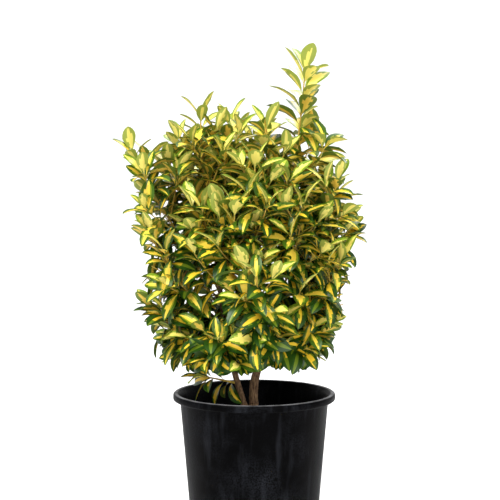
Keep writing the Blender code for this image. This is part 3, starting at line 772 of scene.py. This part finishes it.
@dataclass
class Foliage:
    """The leafy shoots, grown on from the boughs."""

    wood: Wood
    leader_radius: float = 0.0021
    side_radius: float = 0.0014
    side_places: tuple = (0.12, 0.24, 0.36, 0.48, 0.60, 0.74)
    side_share: float = 0.50
    side_least: float = 0.040
    side_lean: float = 46.0
    side_turn: float = 137.5
    side_swing: float = 20.0
    side_fade: float = 1.15
    side_varies: tuple = (0.85, 1.15)
    side_lift: float = 0.44
    # The painted shade of side twigs' leaves inside the crown, added to their age
    side_shade: float = 0.25
    twig_tip_share: float = 0.55
    twig_skin: tuple = (8, 0.006, 0.04, 0.25)
    node_spacing: float = 0.0235
    leader_crowding: float = 0.72
    last_gap: float = 0.8
    first_node: float = 0.010
    pair_swing: float = 16.0
    leaf_length: float = 0.060
    leaf_width_share: float = 0.42
    leaf_sunk: float = 0.0006
    leaf_lean: tuple = (38.0, 56.0)
    leaf_waver: float = 9.0
    leaf_faces_stem: float = 0.4
    leaf_faces_up: float = 0.9
    leaf_roll: float = 24.0
    leaf_hang: tuple = (0.30, 0.60)
    leaf_curl: tuple = (26.0, 66.0)
    curl_varies: tuple = (-12.0, 18.0)
    least_curl: float = 0.05
    sag_curl: float = 0.4
    size_varies: tuple = (0.82, 1.14)
    width_varies: tuple = (0.88, 1.12)
    leaf_fold: tuple = (0.22, 0.50)
    gold_varies: tuple = (-0.26, 0.20)
    young_share: float = 0.85
    upper_roughness: float = 0.36
    under_roughness: float = 0.55
    # Painted light and shade: leaves grow lighter from the first height over the second, lighter still when
    # younger, and vary at random
    dark_height: float = 0.30
    light_height: float = 0.50
    young_light: float = 0.45
    light_varies: float = 0.30
    tip_age: float = -1.2
    tip_pull: float = 0.35
    tip_reach: float = 0.046
    tip_node: float = 0.003
    rosette_gaps: tuple = (0.008, 0.017)
    leaves_a_piece: int = 560
    leaves: list = field(default_factory=list)
    twigs: list = field(default_factory=list)

    def in_crown(self, point: Vector) -> bool:
        """Whether the point is inside the crown's outline and clear of the pot."""
        if point.z < OVER_RIM:
            return point.z > OVER_SOIL and hypot(point.x, point.y) < IN_MOUTH
        heights, *sides = zip(*CROWN_REACH)
        if point.z > heights[-1]:
            return False
        left, right = (np.interp(max(CROWN_LOWEST, point.z), heights, side) for side in sides)
        half = (left + right) / 2 + CROWN_MARGIN + CROWN_RIPPLE * noise.noise(point * CROWN_RIPPLE_SCALE)
        aside = abs(point.x - (right - left) / 2) / half
        deep = abs(point.y) / max(half, CROWN_LEAST_DEPTH)
        return aside ** CROWN_SQUARENESS + deep ** CROWN_SQUARENESS < 1.0

    def has_room(self, spray: Spray, point: Vector) -> bool:
        """Whether a leaf of the shoot may reach the point."""
        hangs_low = spray.tip[2] < CROWN_REACH[1][0]
        return self.in_crown(point) and (hangs_low or point.z > CROWN_UNDERSIDE)

    def grow(self) -> None:
        """Grows every shoot with its side twigs and leaves."""
        for spray in SPRAYS:
            whole = self.wood.shoot_line(spray)
            leader = whole.stretch(whole.length * spray.bare, whole.length)
            self.twigs.append((leader, self.leader_radius))
            self.leave(spray, spray.name, leader, 0.0)
            draw = random.Random(spray.name)
            for number, place in enumerate(self.side_places[:spray.twigs]):
                side = self.side_line(draw, spray, leader, place, number)
                if all(self.in_crown(side.at(side.length * share)[0]) for share in TWIG_TRIES):
                    self.twigs.append((side, self.side_radius))
                    self.leave(spray, f"{spray.name}:{number}", side, self.side_shade)

    def side_line(self, draw: random.Random, spray: Spray, leader: Bend, place: float, number: int) -> Bend:
        """The line of a side twig.

        Args:
            draw: The shoot's own random draws.
            spray: The shoot.
            leader: The shoot's leader.
            place: The share of the leader where the twig leaves.
            number: The twig's number.

        Returns:
            The line.
        """
        root, way = leader.at(leader.length * place)
        turn = radians(self.side_turn * number + draw.uniform(-self.side_swing, self.side_swing))
        outward = Quaternion(way, turn) @ level_side(way)
        share = self.side_share * (self.side_fade - place) * draw.uniform(*self.side_varies)
        half = max(self.side_least, leader.length * share) / 2
        lean = radians(self.side_lean)
        start = way * cos(lean) + outward * sin(lean)
        middle = root + start * half
        tip = middle + (start + UP * self.side_lift * (1 - spray.sag)).normalized() * half
        return bowed(root, middle, tip)

    def leave(self, spray: Spray, name: str, line: Bend, shade: float) -> None:
        """Sets the leaves of one twig, from its tip to its root.

        Args:
            spray: The shoot that the twig belongs to.
            name: The twig's name, which seeds its leaves.
            line: The twig's line.
            shade: How much darker its leaves are painted, as if older, for the shade inside the crown.
        """
        tip = line.length - self.tip_node
        last = tip - self.rosette_gaps[1] - self.node_spacing * self.last_gap
        spacing = self.node_spacing * (1.0 if shade else self.leader_crowding) / spray.vigour
        count = max(1, round((last - self.first_node) / spacing))
        places = [last - (last - self.first_node) * number / count for number in range(count + 1)]
        for number, distance in enumerate([tip, *(tip - gap for gap in self.rosette_gaps), *places]):
            node, way = line.at(distance)
            share = distance / line.length
            way = (way + UP * self.tip_pull * share * (1 - spray.sag)).normalized()
            age = self.tip_age if number == 0 else 1 - share
            size = self.leaf_length * spray.vigour * (1 - (1 - self.young_share) * share)
            for half in (0, 1):
                seed = f"{name}:{number}:{half}"
                draw = random.Random(seed)
                swing = radians(draw.uniform(-self.pair_swing, self.pair_swing))
                outward = Quaternion(way, pi * (number / 2 + half) + swing) @ level_side(way)
                leaf = self.leaf(draw, node, way, outward, age, spray.sag, size, seed)
                # Painted shade inside the crown counts as age
                leaf.tone = self.tone(draw, node, age + shade)
                leaf.gold += GOLD_REACH[leaf.tone]
                for size_share, lift in LEAF_FITS:
                    fitted = leaf.fitted(way, size_share, lift)
                    if all(self.has_room(spray, fitted.point(along)) for along in LEAF_TRIES):
                        self.leaves.append(fitted)
                        break

    def tone(self, draw: random.Random, node: Vector, age: float) -> Tone:
        """The leaf's colours, by its age and by painted light and shade from its height and its depth in the
        crown.
        """
        height = (node.z - self.dark_height) / self.light_height
        # Painted light: higher leaves lighter, with youth and a random share added
        light = height + self.young_light * (1 - age) + draw.uniform(-self.light_varies, self.light_varies)
        if light > YOUNG_LIGHT:
            return Tone.YOUNG
        return Tone.GROWN if light > GROWN_LIGHT else Tone.SHADED

    def leaf(self, draw: random.Random, node: Vector, stem_way: Vector, outward: Vector, age: float,
             sag: float, length: float, seed: str) -> Leaf:
        """A leaf that leans from its stem by its age, sags, and turns its upper side to the light.

        Args:
            draw: The leaf's own random draws.
            node: Where it springs.
            stem_way: The way its twig runs there.
            outward: The way out from the twig on its side.
            age: Its age, from 0 at the tip of the twig to 1 at its root.
            sag: How far it hangs.
            length: Its length before it varies.
            seed: The text that seeds its colours.

        Returns:
            The leaf.
        """
        lean = radians(mix(self.leaf_lean, age) + draw.uniform(-self.leaf_waver, self.leaf_waver))
        way = stem_way * cos(lean) + outward * sin(lean)
        way = (way - UP * sag * mix(self.leaf_hang, age)).normalized()
        upper = squared(stem_way - outward * self.leaf_faces_stem + UP * self.leaf_faces_up, way)
        upper = Quaternion(way, radians(draw.uniform(-self.leaf_roll, self.leaf_roll))) @ upper
        curl = radians(mix(self.leaf_curl, max(age, 0.0)) + draw.uniform(*self.curl_varies))
        curl = max(curl, self.least_curl) * (1 + self.sag_curl * sag)
        size = length * draw.uniform(*self.size_varies)
        width = size * self.leaf_width_share * draw.uniform(*self.width_varies)
        return Leaf(node + outward * self.leaf_sunk, way, upper, size, width, curl,
                    draw.uniform(*self.leaf_fold), draw.uniform(*self.gold_varies), Tone.GROWN, seed)

    def build(self) -> None:
        """Makes the twigs and the leaves, each kind apart."""
        nodes = tuple(f"foliage_{spray.name}" for spray in SPRAYS)
        twigs = Weave()
        for line, radius in self.twigs:
            twigs.add(*pipe(line, (radius, radius * self.twig_tip_share), *self.twig_skin))
        skin = BarkFinish("twig_amber", tint(150, 112, 40), tint(206, 180, 78), 0.0003).make()
        dress(twigs.make("twigs", [skin]), "leaves", *nodes)
        for tone in Tone:
            skins = []
            for zone, colour in zip(Zone, LEAF_TINTS[tone]):
                rough = self.under_roughness if "UNDER" in zone.name else self.upper_roughness
                name = f"leaf_{tone.value}_{zone.name.lower()}"
                skins.append(LeafFinish(name, tint(*colour), rough).make())
            mine = [leaf for leaf in self.leaves if leaf.tone is tone]
            for part, start in enumerate(range(0, len(mine), self.leaves_a_piece)):
                weave = Weave()
                for leaf in mine[start:start + self.leaves_a_piece]:
                    weave.add(*leaf.sheets())
                dress(weave.make(f"leaves_{tone.value}_{part + 1}", skins), "leaves", *nodes)
        LOG.info("%d leaves on %d twigs", len(self.leaves), len(self.twigs))


@dataclass
class Pot:
    """The nursery pot: a thin tapered cup with a rolled rim, a step below it and drain holes."""

    height: float = 0.240
    foot_radius: float = 0.109
    shoulder_radius: float = 0.128
    wall: float = 0.0025
    floor: float = 0.003
    rim_radius: float = 0.1405
    mouth_radius: float = 0.1318
    rim_depth: float = 0.012
    chamfer: float = 0.004
    shoulder_gap: float = 0.006
    foot_rounding: tuple = (0.0012, 0.0008)
    foot_ring: float = 0.6
    floor_rounding: float = 0.0055
    wall_steps: int = 12
    # The roundings of the rim, as steps outward and up from its corners
    step: tuple = ((0.0004, -0.003), (0.0016, 0.0))
    rim_under: tuple = ((-0.0018, 0.0), (-0.0004, 0.0012), (0.0, 0.003))
    rim_over: tuple = ((0.0, -0.0042), (-0.0007, -0.0018), (-0.0026, -0.0003), (-0.0045, 0.0))
    mouth: tuple = ((0.0018, -0.0002), (0.0002, -0.0012), (-0.0012, -0.003))
    segments: int = 144
    holes: int = 4
    hole_radius: float = 0.008
    hole_depth: float = 0.024
    hole_sides: int = 24
    weld: float = 0.00003
    crease: float = 40.0

    def profile(self) -> list[tuple[float, float]]:
        """The outline from the axis under the floor, up the wall, over the rim and back to the axis."""
        under = self.height - self.rim_depth
        slope = (self.foot_radius, self.shoulder_radius)
        shares = [step / self.wall_steps for step in range(self.wall_steps + 1)]
        heights = (self.chamfer, under - self.shoulder_gap)
        outside = [(mix(slope, share), mix(heights, share)) for share in shares]
        rounded = ((self.shoulder_radius, under, self.step),
                   (self.rim_radius, under, self.rim_under),
                   (self.rim_radius, self.height, self.rim_over),
                   (self.mouth_radius, self.height, self.mouth))
        rim = [(radius + out, height + up) for radius, height, row in rounded for out, up in row]
        inside = [(mix(slope, share) - self.wall, mix((self.floor_rounding, under), share))
                  for share in shares[::-2]]
        inset, rise = self.foot_rounding
        foot = [(0.0, 0.0), (self.foot_radius * self.foot_ring, 0.0),
                (self.foot_radius - self.chamfer, 0.0), (self.foot_radius - inset, rise)]
        floor = [(self.foot_radius - 2 * self.wall, self.floor), (0.0, self.floor)]
        return foot + outside + rim + inside + floor

    def build(self) -> None:
        """Makes the pot."""
        shape = bmesh.new()
        corners = [shape.verts.new((radius, 0.0, height)) for radius, height in self.profile()]
        edges = [shape.edges.new(pair) for pair in zip(corners, corners[1:])]
        bmesh.ops.spin(shape, geom=corners + edges, axis=UP, cent=(0, 0, 0), angle=tau,
                       steps=self.segments, use_merge=True)
        bmesh.ops.remove_doubles(shape, verts=shape.verts, dist=self.weld)
        bmesh.ops.recalc_face_normals(shape, faces=shape.faces)
        mesh = bpy.data.meshes.new("nursery_pot")
        shape.to_mesh(mesh)
        shape.free()
        pot = add_object("nursery_pot", mesh)
        for hole in range(self.holes):
            self.drain(pot, tau * (hole + 0.5) / self.holes)
        pot.data.materials.clear()
        # Black, dust, and the pale colour of the painted highlight on the rim
        colours = (tint(7, 7, 8), tint(52, 54, 59), tint(112, 112, 114))
        pot.data.materials.append(PlasticFinish("black_plastic", *colours, self.height).make())
        pot.data.shade_smooth()
        pot.data.set_sharp_from_angle(angle=radians(self.crease))
        dress(pot, "pot", "pot")

    def drain(self, pot: Object, angle: float) -> None:
        """Cuts one drain hole aslant through the corner of the floor.

        Args:
            pot: The pot.
            angle: The hole's place round the pot.
        """
        outward = Vector((cos(angle), sin(angle), 0.0))
        slant = (outward - UP).normalized()
        shape = bmesh.new()
        bmesh.ops.create_cone(shape, cap_ends=True, segments=self.hole_sides, radius1=self.hole_radius,
                              radius2=self.hole_radius, depth=self.hole_depth)
        mesh = bpy.data.meshes.new("drain")
        shape.to_mesh(mesh)
        shape.free()
        cutter = add_object("drain", mesh)
        cutter.rotation_euler = slant.to_track_quat("Z", "Y").to_euler()
        cutter.location = outward * self.foot_radius
        cut = pot.modifiers.new("drain", "BOOLEAN")
        cut.operation = "DIFFERENCE"
        cut.object = cutter
        graph = bpy.context.evaluated_depsgraph_get()
        made = bpy.data.meshes.new_from_object(pot.evaluated_get(graph))
        pot.modifiers.clear()
        pot.data = made
        bpy.data.objects.remove(cutter)


@dataclass
class Soil:
    """The potting mix: an uneven crumbly top, with bark chips and white grains on it."""

    top: float = 0.195
    edge_drop: float = 0.004
    bottom: float = 0.0036
    top_radius: float = 0.1217
    foot_radius: float = 0.1000
    rings: int = 60
    first_ring: float = 0.02
    segments: int = 160
    crumbs: tuple = ((300, 0.0, 0.0011), (70, 5.0, 0.0012))
    sunk: float = 0.0016
    level_share: float = 0.8
    litter_radius: float = 0.115
    litter_tilt: float = 0.35
    litter_sides: tuple = ((0.7, 1.1), (0.35, 0.6), (0.5, 0.9))
    # How many there are, their half lengths, and their height as a share of those
    chips: tuple = (900, (0.0022, 0.0065), 0.35)
    grains: tuple = (170, (0.0012, 0.0026), 0.85)

    def height(self, x: float, y: float) -> float:
        """The height of the top at a place."""
        out = hypot(x, y) / self.top_radius
        drop = self.edge_drop * max(0.0, (out - self.level_share) / (1 - self.level_share))
        crumbs = sum(noise.noise(Vector((x * scale, y * scale, level))) * high
                     for scale, level, high in self.crumbs)
        return self.top - self.sunk - drop + crumbs

    def build(self) -> None:
        """Makes the soil and what lies on it."""
        weave = Weave()
        turns = [tau * number / self.segments for number in range(self.segments)]
        points = []
        for ring in range(self.rings + 1):
            radius = self.top_radius * max(ring, self.first_ring) / self.rings
            spots = [(radius * cos(turn), radius * sin(turn)) for turn in turns]
            points += [(x, y, self.height(x, y)) for x, y in spots]
        points += [(self.foot_radius * cos(turn), self.foot_radius * sin(turn), self.bottom)
                   for turn in turns]
        points += [(0.0, 0.0, self.height(0.0, 0.0)), (0.0, 0.0, self.bottom)]
        weave.add(points, hoops(self.rings + 1, self.segments)[:, [0, 3, 2, 1]])
        soil = SoilFinish("potting_mix", tint(34, 24, 16), tint(88, 66, 46)).make()
        dress(weave.make("potting_mix", [soil]), "soil", "soil")
        self.litter("bark_chips", *self.chips,
                    BarkFinish("chip_brown", tint(52, 34, 22), tint(128, 92, 60), 0.0006).make())
        self.litter("perlite", *self.grains,
                    SoilFinish("perlite_white", tint(190, 186, 176), tint(236, 233, 226)).make())

    def litter(self, name: str, count: int, sizes: tuple, flat: float, material: Material) -> None:
        """Strews small irregular lumps on the soil.

        Args:
            name: The piece's name.
            count: How many there are.
            sizes: Their least and greatest half length.
            flat: Their height as a share of their length.
            material: Their material.
        """
        draw = random.Random(name)
        weave = Weave()
        faces = ((0, 3, 2, 1), (4, 5, 6, 7), (0, 1, 5, 4), (1, 2, 6, 5), (2, 3, 7, 6), (3, 0, 4, 7))
        for _ in range(count):
            out = self.litter_radius * sqrt(draw.random())
            angle = draw.uniform(0, tau)
            x, y = out * cos(angle), out * sin(angle)
            half = draw.uniform(*sizes)
            turn = Quaternion(UP, draw.uniform(0, tau))
            turn @= Quaternion((1, 0, 0), draw.uniform(-self.litter_tilt, self.litter_tilt))
            middle = Vector((x, y, min(self.height(x, y), self.top - half * flat)))
            points = []
            for level in (-1, 1):
                for aside, ahead in ((-1, -1), (1, -1), (1, 1), (-1, 1)):
                    sides = [draw.uniform(*ends) for ends in self.litter_sides]
                    corner = Vector((aside * half * sides[0], ahead * half * sides[1],
                                     level * half * flat * sides[2]))
                    points.append(tuple(middle + turn @ corner))
            weave.add(points, faces)
        dress(weave.make(name, [material]), "soil")


@dataclass
class Studio:
    """The pale floor that sweeps up behind, the soft lights and the camera."""

    camera_place: tuple = (-0.0073, -2.0, 0.577)
    camera_pitch: float = 2.6
    lens: float = 83.5
    floor_colour: Colour = (0.94, 0.94, 0.94)
    floor_roughness: float = 0.9
    floor_half: float = 6.0
    sweep_start: float = 2.0
    sweep_radius: float = 1.6
    sweep_steps: int = 16
    wall_height: float = 4.5
    world_light: float = 0.80
    lamps_aim: float = 0.45
    lamps: tuple = (("key", (-1.0, -1.7, 2.6), 1.3, 100.0),
                    ("fill", (0.9, -2.0, 1.1), 1.6, 26.0),
                    ("back", (0.7, 1.6, 2.4), 1.2, 45.0))

    def build(self) -> None:
        """Makes the camera, the floor, the lights and the sky."""
        scene = bpy.context.scene
        camera = bpy.data.cameras.new("camera")
        camera.lens = self.lens
        made = add_object("camera", camera)
        made.location = self.camera_place
        made.rotation_euler = (radians(90 - self.camera_pitch), 0.0, 0.0)
        scene.camera = made
        scene.view_settings.view_transform = "Standard"
        self.floor()
        for name, place, side, watts in self.lamps:
            light = bpy.data.lights.new(name, "AREA")
            light.size = side
            light.energy = watts
            made = add_object(name, light)
            made.location = place
            made.rotation_euler = (UP * self.lamps_aim - Vector(place)).to_track_quat("-Z", "Y").to_euler()
        world = bpy.data.worlds.new("studio")
        world.use_nodes = True
        ground = world.node_tree.nodes["Background"]
        ground.inputs["Color"].default_value = (1.0, 1.0, 1.0, 1.0)
        ground.inputs["Strength"].default_value = self.world_light
        scene.world = world

    def floor(self) -> None:
        """Makes the floor and its sweep."""
        turns = [pi / 2 * step / self.sweep_steps for step in range(self.sweep_steps + 1)]
        sweep = [(self.sweep_start + self.sweep_radius * sin(turn), self.sweep_radius * (1 - cos(turn)))
                 for turn in turns]
        line = [(-self.floor_half, 0.0), *sweep, (sweep[-1][0], self.wall_height)]
        points = [(x, y, z) for y, z in line for x in (-self.floor_half, self.floor_half)]
        faces = [(2 * place, 2 * place + 1, 2 * place + 3, 2 * place + 2) for place in range(len(line) - 1)]
        weave = Weave()
        weave.add(points, faces)
        finish = Finish("floor_white")
        finish.feed(Base_Color=self.floor_colour, Roughness=self.floor_roughness)
        floor = weave.make("floor", [finish.material])


def main() -> None:
    """Builds the studio, then the pot, the soil, the wood and the foliage."""
    logging.basicConfig(level=logging.INFO, format="%(name)s: %(message)s")
    Studio().build()
    Pot().build()
    Soil().build()
    wood = Wood()
    wood.build()
    foliage = Foliage(wood)
    foliage.grow()
    foliage.build()


if __name__ == "__main__":
    main()
